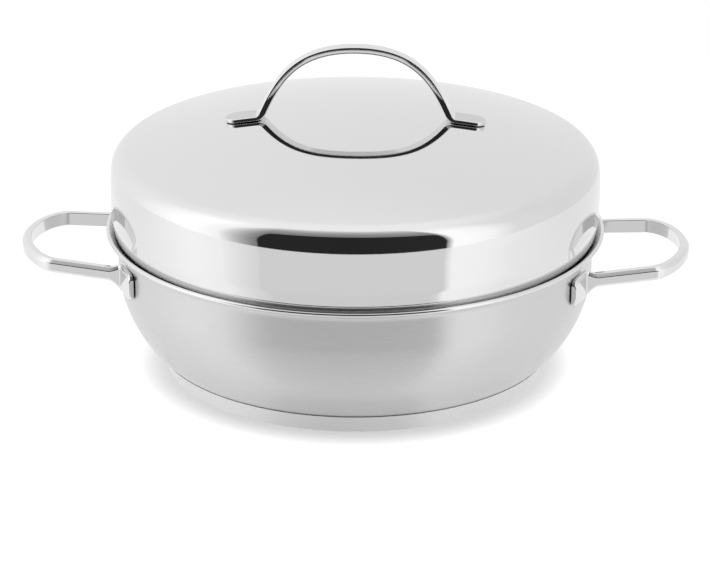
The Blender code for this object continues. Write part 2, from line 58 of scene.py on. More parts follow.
camera_data = bpy.data.cameras.new("camera")
camera_data.lens = CAMERA_LENS
camera_data.sensor_width = CAMERA_SENSOR
camera = bpy.data.objects.new("camera", camera_data)
bpy.context.scene.collection.objects.link(camera)
camera.matrix_world = (
    Matrix.Translation((CAMERA_DISTANCE * sin(CAMERA_SIDE), -CAMERA_DISTANCE * cos(CAMERA_SIDE),
                        CAMERA_HEIGHT))
    @ Matrix.Rotation(CAMERA_SIDE, 4, "Z")
    @ Matrix.Rotation(pi / 2 - CAMERA_DOWN, 4, "X")
    @ Matrix.Rotation(CAMERA_ROLL, 4, "Z"))
bpy.context.scene.camera = camera


# Table and light. The pan stands on a round white table in a white tent, with softboxes at its left
# and at its right front. The tent's open front is dark: it is the black band in the lid's shoulder.
TENT_TOP = 1.05               # brightness of its roof
TENT_ROOF = (radians(40), radians(75))    # between these heights the sides turn into the roof
# Brightness round its sides, by degrees from the front, left negative
ROUND_TENT = ((-180, 0.90), (-115, 1.02), (-80, 1.35), (-64, 1.15), (0, 1.05), (52, 1.26),
              (66, 1.15), (80, 0.90), (112, 0.85), (180, 0.90))
# The opening, on a flat front 1 m before the pan: half its width, its height, its corner radius
OPENING_HALF_WIDTH = 0.93
OPENING_HEIGHT = 1.07
OPENING_CORNER = 0.18
OPENING_EDGE = 0.02           # its edge fades over this much on both sides
OPENING_LEVEL = 0.022         # brightness in it
OPENING_SHADE = 0.20          # brightness of the cloth at its edge, which grows away from it
SHADE_LEFT = 1.0              # how fast it grows, per metre of that front
SHADE_RIGHT = 8.0
SHADE_TOP = 0.24
BARELY_AHEAD = 0.001          # the least forward part of a direction that meets that front
TABLE_RADIUS = 0.65
TABLE_SIDES = 128
TABLE_GLOW = 0.88             # what the camera sees on top of the light that falls on the table
TABLE_MIRRORED = ((0.12, 0.80), (0.40, 0.84))     # what steel sees: distance from the middle, light
TABLE_BEHIND = ((-0.20, 1.0), (0.10, 0.86))       # share of the farther light, from front to back
TABLE_SHINE = 0.28            # share of what steel sees that is the table's own gloss
CONTACT_REACH = 0.016         # the table is darker this near to the pan
CONTACT_SHADE = 0.60          # share of the glow left right against it
CONTACT_FULL = 0.35           # how open the table is there, where 1 is fully open
CONTACT_SAMPLES = 12


def linear(hex_colour):
    """An sRGB hex colour as linear RGBA."""
    channels = [int(hex_colour[i:i + 2], 16) / 255 for i in (1, 3, 5)]
    return (*[c / 12.92 if c <= 0.04045 else ((c + 0.055) / 1.055) ** 2.4 for c in channels], 1.0)


WHITE = linear("#ffffff")


def add_node(tree, kind, inputs=None, **settings):
    """A node with its settings, and its inputs set to a value or linked from a socket."""
    made = tree.nodes.new(kind)
    for key, value in settings.items():
        setattr(made, key, value)
    for socket, source in (inputs or {}).items():
        if isinstance(source, bpy.types.Node):
            source = source.outputs[0]
        if isinstance(source, bpy.types.NodeSocket):
            tree.links.new(source, made.inputs[socket])
        else:
            made.inputs[socket].default_value = source
    return made


world = bpy.data.worlds.new("white_tent")
bpy.context.scene.world = world
world.use_nodes = True
tent = world.node_tree
tent.nodes.clear()
way = add_node(tent, "ShaderNodeSeparateXYZ",
               {0: add_node(tent, "ShaderNodeTexCoord").outputs["Generated"]}).outputs
front = add_node(tent, "ShaderNodeMath", {0: way["Y"], 1: -1.0}, operation="MULTIPLY")
turn = add_node(tent, "ShaderNodeMath", {0: way["X"], 1: front}, operation="ARCTAN2")
share = add_node(tent, "ShaderNodeMapRange", {0: turn, 1: -pi, 2: pi, 3: 0.0, 4: 1.0})
sides = add_node(tent, "ShaderNodeValToRGB", {0: share})
ramp = sides.color_ramp
for index, (angle, level) in enumerate(ROUND_TENT):
    stop = ramp.elements[index] if index < 2 else ramp.elements.new(angle / 360 + 0.5)
    stop.position = angle / 360 + 0.5
    stop.color = (level, level, level, 1.0)
rise = add_node(tent, "ShaderNodeMath", {0: way["Z"]}, operation="ARCSINE")
roof = add_node(tent, "ShaderNodeMapRange",
                {0: rise, 1: TENT_ROOF[0], 2: TENT_ROOF[1], 3: 0.0, 4: 1.0},
                interpolation_type="SMOOTHSTEP")
cloth = add_node(tent, "ShaderNodeMix",
                 {0: roof, 6: sides, 7: (TENT_TOP, TENT_TOP, TENT_TOP, 1.0)}, data_type="RGBA")
ahead = add_node(tent, "ShaderNodeMath", {0: front, 1: BARELY_AHEAD}, operation="MAXIMUM")
across = add_node(tent, "ShaderNodeMath", {0: way["X"], 1: ahead}, operation="DIVIDE")
height = add_node(tent, "ShaderNodeMath", {0: way["Z"], 1: ahead}, operation="DIVIDE")
aside = add_node(tent, "ShaderNodeMath", {0: across}, operation="ABSOLUTE")
outside = []
for place, size in ((aside, OPENING_HALF_WIDTH), (height, OPENING_HEIGHT)):
    past = add_node(tent, "ShaderNodeMath", {0: place, 1: size - OPENING_CORNER},
                    operation="SUBTRACT")
    outside.append(add_node(tent, "ShaderNodeMath", {0: past, 1: 0.0}, operation="MAXIMUM"))
corner = add_node(tent, "ShaderNodeCombineXYZ", {0: outside[0], 1: outside[1]})
beyond = add_node(tent, "ShaderNodeVectorMath", {0: corner}, operation="LENGTH").outputs["Value"]
edge = add_node(tent, "ShaderNodeMapRange",
                {0: beyond, 1: OPENING_CORNER - OPENING_EDGE, 2: OPENING_CORNER + OPENING_EDGE,
                 3: 0.0, 4: 1.0}, interpolation_type="SMOOTHSTEP")
farthest = 0.0
for place, rate, size in ((across, -SHADE_LEFT, OPENING_HALF_WIDTH),
                          (across, SHADE_RIGHT, OPENING_HALF_WIDTH),
                          (height, SHADE_TOP, OPENING_HEIGHT)):
    away = add_node(tent, "ShaderNodeMath", {0: place, 1: rate, 2: -abs(rate) * size},
                    operation="MULTIPLY_ADD")
    farthest = add_node(tent, "ShaderNodeMath", {0: farthest, 1: away}, operation="MAXIMUM")
shade = add_node(tent, "ShaderNodeMapRange",
                 {0: farthest, 1: 0.0, 2: 1.0, 3: OPENING_SHADE, 4: 1.0})
shaded = add_node(tent, "ShaderNodeMath", {0: edge, 1: shade}, operation="MULTIPLY")
least = add_node(tent, "ShaderNodeMapRange",
                 {0: front, 1: 0.0, 2: BARELY_AHEAD, 3: 1.0, 4: OPENING_LEVEL})
dim = add_node(tent, "ShaderNodeMath", {0: shaded, 1: least}, operation="MAXIMUM")
seen = add_node(tent, "ShaderNodeBackground", {0: WHITE})
lighting = add_node(tent, "ShaderNodeBackground", {0: cloth.outputs[2], 1: dim})
looked_at = add_node(tent, "ShaderNodeLightPath").outputs["Is Camera Ray"]
either = add_node(tent, "ShaderNodeMixShader", {0: looked_at, 1: lighting, 2: seen})
add_node(tent, "ShaderNodeOutputWorld", {0: either})

bpy.ops.object.select_all(action="DESELECT")
bpy.ops.mesh.primitive_circle_add(vertices=TABLE_SIDES, radius=TABLE_RADIUS, fill_type="NGON")
table = bpy.context.object
table.name = "table"
# Painted board, matt white under a thin gloss: white up to its edge, with a soft shade at the pan's
# foot, and bright in the steel that it is mirrored in.
table_white = bpy.data.materials.new("matt_white_table")
table_white.use_nodes = True
tree = table_white.node_tree
shader = tree.nodes["Principled BSDF"]
shader.inputs["Base Color"].default_value = linear("#949494")
shader.inputs["Roughness"].default_value = 0.9
shader.inputs["Specular IOR Level"].default_value = 0.0
shader.inputs["Emission Color"].default_value = WHITE
path = add_node(tree, "ShaderNodeLightPath").outputs
direct = add_node(tree, "ShaderNodeMath", {0: path["Is Camera Ray"], 1: path["Is Glossy Ray"]},
                  operation="MAXIMUM")
shown = add_node(tree, "ShaderNodeMath", {0: direct, 1: path["Is Transmission Ray"]},
                 operation="MAXIMUM")
place = add_node(tree, "ShaderNodeTexCoord").outputs["Object"]
reach = add_node(tree, "ShaderNodeVectorMath", {0: place}, operation="LENGTH").outputs["Value"]
(near_by, near_light), (far_off, far_light) = TABLE_MIRRORED
depth = add_node(tree, "ShaderNodeSeparateXYZ", {0: place}).outputs["Y"]
(front_by, front_share), (back_by, back_share) = TABLE_BEHIND
farther = add_node(tree, "ShaderNodeMapRange",
                   {0: depth, 1: front_by, 2: back_by,
                    3: far_light * front_share, 4: far_light * back_share})
mirrored = add_node(tree, "ShaderNodeMapRange",
                    {0: reach, 1: near_by, 2: far_off, 3: near_light, 4: farther})
near = add_node(tree, "ShaderNodeAmbientOcclusion", {"Distance": CONTACT_REACH},
                samples=CONTACT_SAMPLES)
contact = add_node(tree, "ShaderNodeMapRange",
                   {0: near.outputs["AO"], 1: CONTACT_FULL, 2: 1.0,
                    3: CONTACT_SHADE * TABLE_GLOW, 4: TABLE_GLOW})
level = add_node(tree, "ShaderNodeMix", {0: path["Is Camera Ray"], 2: mirrored, 3: contact})
glow = add_node(tree, "ShaderNodeMath", {0: level, 1: shown}, operation="MULTIPLY")
tree.links.new(glow.outputs[0], shader.inputs["Emission Strength"])
gloss = add_node(tree, "ShaderNodeBsdfPrincipled",
                 {"Base Color": WHITE, "Metallic": 1.0, "Roughness": 0.03})
shine = add_node(tree, "ShaderNodeMath", {0: path["Is Glossy Ray"], 1: TABLE_SHINE},
                 operation="MULTIPLY")
top = add_node(tree, "ShaderNodeMixShader", {0: shine, 1: shader, 2: gloss})
tree.links.new(top.outputs[0], tree.nodes["Material Output"].inputs["Surface"])
table.data.materials.append(table_white)


# Pan body. A deep bowl drawn from one round of stainless sheet, its wall brushed round and round
# after drawing; the rim is flared, and its edge rolled into a bead.
SHEET = 0.9 * MM
WALL_RADIUS = 135.1 * MM
FLOOR_EDGE = 112.3 * MM       # outer edge of the flat floor
PAN_UNDERSIDE = 11.2 * MM
PAN_FLOOR = PAN_UNDERSIDE + SHEET
BOWL_TOP = 59.45 * MM
BOWL_START_ANGLE = radians(41.3)
BOWL_START_PULL = 21.3 * MM
BOWL_TOP_PULL = 13.0 * MM
FLARE_ANGLE = radians(50)
FLARE_BEND = 5.0 * MM
BEAD_RADIUS = 1.2 * MM        # the rim's rolled edge
BEAD_CENTRE = (140.3 * MM, 82.0 * MM)
FLARE_START = BEAD_CENTRE[1] + (BEAD_RADIUS - FLARE_BEND - SHEET) * sin(FLARE_ANGLE) - (
    BEAD_CENTRE[0] - WALL_RADIUS - FLARE_BEND
    - (BEAD_RADIUS - FLARE_BEND - SHEET) * cos(FLARE_ANGLE)) / tan(FLARE_ANGLE)
# Where the flare's outer side runs into the bead, by the angle round the bead
BEAD_START = -pi / 2 - FLARE_ANGLE - asin((BEAD_RADIUS - SHEET) / BEAD_RADIUS)
FLOOR_CORNER_RISE = 3.2 * MM  # the inner corner of the floor is rounded up to here
FLOOR_CORNER_RUN = 2.2        # and inwards by this much of its rise
FLOOR_CORNER_IN = 0.3 * MM
ROUND_STEPS = 256
MERGE_DISTANCE = 0.002 * MM
SHARP_ANGLE = radians(32)     # edges that turn by more than this stay sharp


def arc(centre, radius, start, end, steps):
    """Points on a circle from one angle to another, both ends included."""
    angles = [start + (end - start) * step / steps for step in range(steps + 1)]
    return [(centre[0] + radius * cos(a), centre[1] + radius * sin(a)) for a in angles]


def bezier(p0, p1, p2, p3, steps):
    """Points on a curve from p0 to p3, both ends included, that p1 and p2 pull on."""
    points = []
    for step in range(steps + 1):
        t = step / steps
        weights = ((1 - t) ** 3, 3 * t * (1 - t) ** 2, 3 * t * t * (1 - t), t ** 3)
        points.append(tuple(sum(w * c[axis] for w, c in zip(weights, (p0, p1, p2, p3)))
                            for axis in (0, 1)))
    return points


def straight(start, end, steps):
    """Points between two points, closer together near both."""
    shares = [(1 - cos(pi * step / steps)) / 2 for step in range(1, steps)]
    return [(start[0] + share * (end[0] - start[0]), start[1] + share * (end[1] - start[1]))
            for share in shares]


def offset_path(points, distance):
    """The same path moved to its left by a distance, with mitred corners."""
    normals = []
    for start, end in zip(points, points[1:]):
        length = hypot(end[0] - start[0], end[1] - start[1])
        normals.append(((start[1] - end[1]) / length, (end[0] - start[0]) / length))
    moved = []
    for index, point in enumerate(points):
        before = normals[max(index - 1, 0)]
        after = normals[min(index, len(normals) - 1)]
        part = 1 + before[0] * after[0] + before[1] * after[1]
        moved.append((point[0] + distance * (before[0] + after[0]) / part,
                      point[1] + distance * (before[1] + after[1]) / part))
    return moved


def rolled_edge(start, end):
    """The half-round edge of a sheet, on the left of the way from start to end."""
    middle = ((start[0] + end[0]) / 2, (start[1] + end[1]) / 2)
    first = atan2(start[1] - middle[1], start[0] - middle[0])
    radius = hypot(start[0] - middle[0], start[1] - middle[1])
    return arc(middle, radius, first, first - pi, 8)[1:-1]


def spun(name, section, steps=ROUND_STEPS, closed=False):
    """Draws half a cross-section by extruding one point along it, and spins it round the axis."""
    bpy.ops.object.select_all(action="DESELECT")
    bpy.ops.mesh.primitive_plane_add(size=MM)
    piece = bpy.context.object
    piece.name = piece.data.name = name
    bpy.ops.object.mode_set(mode="EDIT")
    bpy.ops.mesh.merge(type="CENTER")
    bpy.ops.transform.translate(value=(section[0][0], 0.0, section[0][1]))
    points = section + section[:1] if closed else section
    for start, end in zip(points, points[1:]):
        step = (end[0] - start[0], 0.0, end[1] - start[1])
        bpy.ops.mesh.extrude_region_move(TRANSFORM_OT_translate={"value": step})
    bpy.ops.mesh.select_all(action="SELECT")
    bpy.ops.mesh.spin(steps=steps, angle=2 * pi, center=(0, 0, 0), axis=(0, 0, 1))
    bpy.ops.mesh.select_all(action="SELECT")
    bpy.ops.mesh.remove_doubles(threshold=MERGE_DISTANCE)
    bpy.ops.mesh.normals_make_consistent(inside=False)
    bpy.ops.object.mode_set(mode="OBJECT")
    bpy.ops.object.shade_smooth_by_angle(angle=SHARP_ANGLE)
    return piece


def pan_outside(bowl_steps, bend_steps):
    """The body's outer side, rising from the floor's edge to the rolled rim."""
    edge = (FLOOR_EDGE, PAN_UNDERSIDE)
    bowl = bezier(edge, (edge[0] + BOWL_START_PULL * cos(BOWL_START_ANGLE),
                         edge[1] + BOWL_START_PULL * sin(BOWL_START_ANGLE)),
                  (WALL_RADIUS, BOWL_TOP - BOWL_TOP_PULL), (WALL_RADIUS, BOWL_TOP), bowl_steps)
    flare = arc((WALL_RADIUS + FLARE_BEND, FLARE_START), FLARE_BEND, pi, pi - FLARE_ANGLE,
                bend_steps)
    end = (BEAD_CENTRE[0] + BEAD_RADIUS * cos(BEAD_START),
           BEAD_CENTRE[1] + BEAD_RADIUS * sin(BEAD_START))
    return bowl + straight(bowl[-1], flare[0], 5) + flare + straight(flare[-1], end, 3) + [end]


bead = arc(BEAD_CENTRE, BEAD_RADIUS, pi - FLARE_ANGLE, BEAD_START, 28)
pan_outer = pan_outside(36, 12)
pan_inner = offset_path(pan_outside(24, 8), SHEET)
corner_top = next(p for p in pan_inner if p[1] > PAN_FLOOR + FLOOR_CORNER_RISE)
wall_foot = (pan_inner[0][0] - FLOOR_CORNER_IN, PAN_FLOOR)
floor_corner = bezier((corner_top[0] - FLOOR_CORNER_RUN * (corner_top[1] - PAN_FLOOR), PAN_FLOOR),
                      wall_foot, wall_foot, corner_top, 8)
pan_inner = floor_corner + [p for p in pan_inner if p[1] > corner_top[1]]
floor_rings = [(FLOOR_EDGE * share, PAN_FLOOR) for share in (0.0, 0.3, 0.6, 0.85)]
pan_section = floor_rings + pan_inner + bead + pan_outer[-2::-1] + [(0.0, PAN_UNDERSIDE)]
pan = spun("drawn_pan_body", pan_section)


NOISE_SPAN = (0.32, 0.68)     # most of a pattern's values lie between these
QUARTER_TURN = 0.25           # turns the stretch of a reflection across the streaks
STREAK_SLANT = 1.7            # the line along which streaks end is neither X nor Y
GROOVE_STRENGTH = 0.25


def turned_streaks(tree, pitch, length):
    """Long fine streaks that run round the Z axis: a pattern of radius and height, drawn out.

    Real grooves are some 0.1 mm apart, too fine for the picture, so each pitch is coarser.
    """
    place = add_node(tree, "ShaderNodeSeparateXYZ",
                     {0: add_node(tree, "ShaderNodeTexCoord").outputs["Object"]})
    flat = add_node(tree, "ShaderNodeCombineXYZ", {0: place.outputs["X"], 1: place.outputs["Y"]})
    reach = add_node(tree, "ShaderNodeVectorMath", {0: flat.outputs[0]}, operation="LENGTH")
    slow = add_node(tree, "ShaderNodeMath",
                    {0: place.outputs["X"], 1: STREAK_SLANT, 2: place.outputs["Y"]},
                    operation="MULTIPLY_ADD")
    fine = [add_node(tree, "ShaderNodeMath", {0: source, 1: 1 / pitch}, operation="MULTIPLY")
            for source in (reach.outputs["Value"], place.outputs["Z"])]
    long = add_node(tree, "ShaderNodeMath", {0: slow.outputs[0], 1: 1 / length},
                    operation="MULTIPLY")
    where = add_node(tree, "ShaderNodeCombineXYZ",
                     {0: fine[0].outputs[0], 1: fine[1].outputs[0], 2: long.outputs[0]})
    return add_node(tree, "ShaderNodeTexNoise",
                    {"Vector": where.outputs[0], "Scale": 1.0, "Detail": 3.0, "Roughness": 0.6})


def metal(name, colour, roughness, marks, anisotropy=0.0, bump=0.0, tint=0.06):
    """Bare metal whose roughness, and a little of its colour, follow the marks on it."""
    material = bpy.data.materials.new(name)
    material.use_nodes = True
    tree = material.node_tree
    shader = tree.nodes["Principled BSDF"]
    shader.inputs["Metallic"].default_value = 1.0
    shader.inputs["Anisotropic"].default_value = anisotropy
    pattern = marks(tree)
    low, high = roughness
    rough = add_node(tree, "ShaderNodeMapRange",
                     {0: pattern.outputs[0], 1: NOISE_SPAN[0], 2: NOISE_SPAN[1], 3: low, 4: high})
    tree.links.new(rough.outputs[0], shader.inputs["Roughness"])
    bright = linear(colour)
    dull = (*[c * (1 - tint) for c in bright[:3]], 1.0)
    shade = add_node(tree, "ShaderNodeMix",
                     {0: pattern.outputs[0], 6: dull, 7: bright}, data_type="RGBA")
    tree.links.new(shade.outputs[2], shader.inputs["Base Color"])
    if anisotropy:
        shader.inputs["Anisotropic Rotation"].default_value = QUARTER_TURN
        along = add_node(tree, "ShaderNodeTangent", direction_type="RADIAL", axis="Z")
        tree.links.new(along.outputs[0], shader.inputs["Tangent"])
    if bump:
        relief = add_node(tree, "ShaderNodeBump",
                          {"Height": pattern.outputs[0], "Strength": GROOVE_STRENGTH,
                           "Distance": bump})
        tree.links.new(relief.outputs[0], shader.inputs["Normal"])
    return material


# Stainless steel, brushed round the wall: the fine grooves draw reflections out up and down.
brushed_steel = metal("brushed_stainless_steel", "#d6d6d6", (0.27, 0.32),
                      lambda tree: turned_streaks(tree, 0.35 * MM, 60 * MM),
                      anisotropy=0.75, tint=0.03)
# Stainless steel, satin: the pan's inside, ground in rings.
satin_steel = metal("satin_stainless_steel", "#dedede", (0.22, 0.34),
                    lambda tree: turned_streaks(tree, 0.7 * MM, 80 * MM), anisotropy=0.6)
# Stainless steel, polished: the mirror finish of the rolled edge and the lid's outside.
polished_steel = metal("polished_stainless_steel", "#e6e6e6", (0.02, 0.04),
                       lambda tree: turned_streaks(tree, 0.6 * MM, 120 * MM), anisotropy=0.5,
                       tint=0.03)


def faces_to_slot(piece, number, wanted):
    """Gives the faces that are wanted, by centre and normal, a material of their own."""
    for face in piece.data.polygons:
        if wanted(face.center, face.normal):
            face.material_index = number


pan.data.materials.append(brushed_steel)
pan.data.materials.append(satin_steel)
pan.data.materials.append(polished_steel)
LEVEL = 0.99                  # the least that a level face points up
faces_to_slot(pan, 1, lambda centre, normal: normal.z > LEVEL
              or normal.x * centre.x + normal.y * centre.y < 0)
faces_to_slot(pan, 2, lambda centre, normal: hypot(
    hypot(centre.x, centre.y) - BEAD_CENTRE[0], centre.z - BEAD_CENTRE[1]) < BEAD_RADIUS)
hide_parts("pan_body")
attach(pan, "pan")


# Sandwich base. An aluminium disc is pressed hot between the pan's floor and a shallow capsule of
# stainless sheet; the capsule's side leans in to the flat face below and is turned to a satin band.
CAP_SHEET = 0.8 * MM
CAP_TOP = 11.1 * MM
CAP_EDGE = 112.85 * MM        # radius at its top
CAP_LEAN = radians(25)        # its side draws in downwards
CAP_CORNER = 1.5 * MM
CAP_ROUND = 0.2 * MM
FLAT_RADIUS = 106.76 * MM

cap_in = offset_path([(CAP_EDGE - CAP_TOP * tan(CAP_LEAN), 0.0), (CAP_EDGE, CAP_TOP)], CAP_SHEET)
cap_well = cap_in[1][0] + (CAP_TOP - cap_in[1][1]) * tan(CAP_LEAN)
lean = (sin(CAP_LEAN), cos(CAP_LEAN))
cap_section = [(FLAT_RADIUS * share, CAP_SHEET) for share in (0.0, 0.4, 0.8)]
cap_section += arc((FLAT_RADIUS, CAP_CORNER), CAP_CORNER - CAP_SHEET, -pi / 2, -CAP_LEAN, 5)
for corner_x, start, end in (
        (cap_well, (cap_well - CAP_ROUND * lean[0], CAP_TOP - CAP_ROUND * lean[1]),
         (cap_well + CAP_ROUND, CAP_TOP)),
        (CAP_EDGE, (CAP_EDGE - CAP_ROUND, CAP_TOP),
         (CAP_EDGE - CAP_ROUND * lean[0], CAP_TOP - CAP_ROUND * lean[1]))):
    cap_section += bezier(start, (corner_x, CAP_TOP), (corner_x, CAP_TOP), end, 4)
corner_arc = arc((FLAT_RADIUS, CAP_CORNER), CAP_CORNER, -CAP_LEAN, -pi / 2, 12)
cap_section += straight(cap_section[-1], corner_arc[0], 6) + corner_arc
cap_section += [(FLAT_RADIUS * share, 0.0) for share in (0.97, 0.8, 0.4, 0.0)]
base_cap = spun("base_capsule", cap_section)
# Stainless steel, turned: fine rings round the band and underneath.
turned_steel = metal("turned_stainless_steel", "#eaeaea", (0.34, 0.46),
                     lambda tree: turned_streaks(tree, 0.6 * MM, 90 * MM),
                     anisotropy=0.7, bump=0.01 * MM)
base_cap.data.materials.append(turned_steel)
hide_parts("base_cap")
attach(base_cap, "pan")

# Aluminium, sawn and pressed: dull, with a coarse grain. It is closed in all round.
pressed_aluminium = metal("pressed_aluminium", "#e2e2e4", (0.45, 0.6),
                          lambda tree: turned_streaks(tree, 1.5 * MM, 40 * MM))
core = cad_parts["base_core"]
core.data.materials.clear()
core.data.materials.append(pressed_aluminium)


# Side handles. Each is a flat bar, chamfered on its outer side and bent on edge into a loop; its
# two ends are forged flat, rounded and spot-welded to the wall. Buffed bright all over.
BAR_WIDTH = 5.2 * MM
BAR_HEIGHT = 8.0 * MM
# Cuts along its edges: side, 1 for the loop's outer side, then size and segments
BAR_EDGES = ((1, 1.9 * MM, 1), (1, 0.3 * MM, 3), (-1, 0.55 * MM, 4))
ARM_HALF_SPAN = 44.7 * MM
ARM_TAPER = atan(0.145)
ARM_TILT = radians(4.6)
ARM_HEIGHT = 65.85 * MM
LOOP_REACH = 58.1 * MM
LOOP_CROWN = 20.3 * MM
CROWN_PULL = 0.48             # share of the crown over which its ends pull on its curve
FOOT_THICKNESS = 2.6 * MM
FOOT_LENGTH = 18.5 * MM
FOOT_HEIGHT = 15.6 * MM
FOOT_DROP = 1.5 * MM          # the foot's middle lies this far below the arm's
FOOT_CORNER = 4.0 * MM
FOOT_BEND = 1.8 * MM          # the bend at the wall runs this far to both sides
FOOT_FLARE = 6.8 * MM         # the bar has its own size from here on
FOOT_FLARE_POWER = 1.4
FOOT_GAP = 0.3 * MM
TIP_SHARES = (0.01, 0.04, 0.09, 0.16, 0.26, 0.38, 0.52, 0.68, 0.84, 1.0)  # steps round a corner
CROWN_STEPS = 40
BAR_SHARP_ANGLE = radians(38)
FLATS_WEIGHT = 90             # how much more a large face counts than a small one


def corner_inset(radius, distance):
    """How far a round corner has drawn in, at a distance from the end of its piece."""
    if distance >= radius:
        return 0.0
    return radius - sqrt(radius ** 2 - (radius - distance) ** 2)


def select_points(wanted):
    """Selects the points that are wanted, and what they bound; gives back the earlier selection."""
    mesh = bmesh.from_edit_mesh(bpy.context.edit_object.data)
    earlier = {vert.index for vert in mesh.verts if vert.select}
    for vert in mesh.verts:
        vert.select = wanted(vert)
    mesh.select_flush_mode()
    bmesh.update_edit_mesh(bpy.context.edit_object.data)
    return earlier


def spread(axis, middle, amount):
    """Moves the end face's two halves apart along an axis, so that its corners keep their size."""
    ends = select_points(lambda vert: vert.select)
    for side in (-1.0, 1.0):
        select_points(lambda vert: vert.index in ends and (vert.co[axis] - middle) * side > 0)
        step = [0.0, 0.0, 0.0]
        step[axis] = side * amount / 2
        bpy.ops.transform.translate(value=step)
    select_points(lambda vert: vert.index in ends)


def extruded_bar(name, stations, turning, section, edges):
    """Extrudes a round-cornered end face from station to station, turning and resizing it.

    A station is (place, heading, size along Y, size along Z), the sizes before the face is turned.
    An edge is (side across the turning axis, size, segments); they are cut one after the other.
    """
    turn_sign = -1.0 if turning == "Z" else 1.0
    along = "XYZ".index(turning)
    across = 3 - along
    bpy.ops.object.select_all(action="DESELECT")
    bpy.ops.mesh.primitive_plane_add(size=1.0, rotation=(0.0, pi / 2, 0.0))
    bar = bpy.context.object
    bar.name = bar.data.name = name
    bpy.ops.object.transform_apply(location=False, rotation=True, scale=False)
    bpy.ops.object.mode_set(mode="EDIT")
    bpy.ops.transform.resize(value=(1.0, section[0], section[1]))
    for side, edge, segments in edges:
        select_points(lambda vert: vert.co[across] * side > 0.0)
        bpy.ops.mesh.bevel(offset=edge, segments=segments, affect="VERTICES")
    bpy.ops.mesh.select_all(action="SELECT")
    place, heading, size = Vector((0.0, 0.0, 0.0)), 0.0, section
    for number, (to_place, to_heading, *to_size) in enumerate(stations):
        if number:
            bpy.ops.mesh.extrude_region_move(
                TRANSFORM_OT_translate={"value": tuple(to_place - place)})
        else:
            bpy.ops.transform.translate(value=tuple(to_place - place))
        if size[across - 1] != to_size[across - 1]:
            ratio = [1.0, 1.0, 1.0]
            ratio[across] = to_size[across - 1] / size[across - 1]
            bpy.ops.transform.rotate(value=-turn_sign * heading, orient_axis=turning,
                                     center_override=to_place)
            bpy.ops.transform.resize(value=ratio, center_override=to_place)
            heading = 0.0
        if size[along - 1] != to_size[along - 1]:
            spread(along, to_place[along], to_size[along - 1] - size[along - 1])
        if heading != to_heading:
            bpy.ops.transform.rotate(value=turn_sign * (to_heading - heading),
                                     orient_axis=turning, center_override=to_place)
        place, heading, size = to_place, to_heading, to_size
    bpy.ops.mesh.select_all(action="SELECT")
    bpy.ops.mesh.normals_make_consistent(inside=False)
    bpy.ops.object.mode_set(mode="OBJECT")
    bpy.ops.object.shade_smooth_by_angle(angle=BAR_SHARP_ANGLE)
    return bar


def pick(piece):
    """Makes a piece the only one that is selected, and the active one."""
    bpy.ops.object.select_all(action="DESELECT")
    piece.select_set(True)
    bpy.context.view_layer.objects.active = piece


def open_whole(piece):
    """Opens a piece in edit mode with all of it selected."""
    pick(piece)
    bpy.ops.object.mode_set(mode="EDIT")
    bpy.ops.mesh.select_all(action="SELECT")


def copied(piece, mesh, name):
    """A copy of a piece and of all that is said of it, with its own copy of a mesh."""
    twin = piece.copy()
    twin.data = mesh.copy()
    twin.name = twin.data.name = name
    bpy.context.scene.collection.objects.link(twin)
    return twin


def keep_flats(piece):
    """Lets the large flat faces keep their own direction right up to the small rounded edges."""
    pick(piece)
    bpy.ops.object.modifier_add(type="WEIGHTED_NORMAL")
    piece.modifiers[-1].weight = FLATS_WEIGHT
    piece.modifiers[-1].keep_sharp = True
    bpy.ops.object.modifier_apply(modifier=piece.modifiers[-1].name)


def with_headings(rows, flat):
    """Adds to each row the heading of its path, from its neighbours. Flat picks the two axes."""
    headed = []
    for index, (place, *sizes) in enumerate(rows):
        before, after = rows[max(index - 1, 0)][0], rows[min(index + 1, len(rows) - 1)][0]
        heading = atan2(after[flat[1]] - before[flat[1]], after[flat[0]] - before[flat[0]])
        if headed:
            heading += 2 * pi * round((headed[-1][1] - heading) / (2 * pi))
        headed.append((place, heading, *sizes))
    return headed


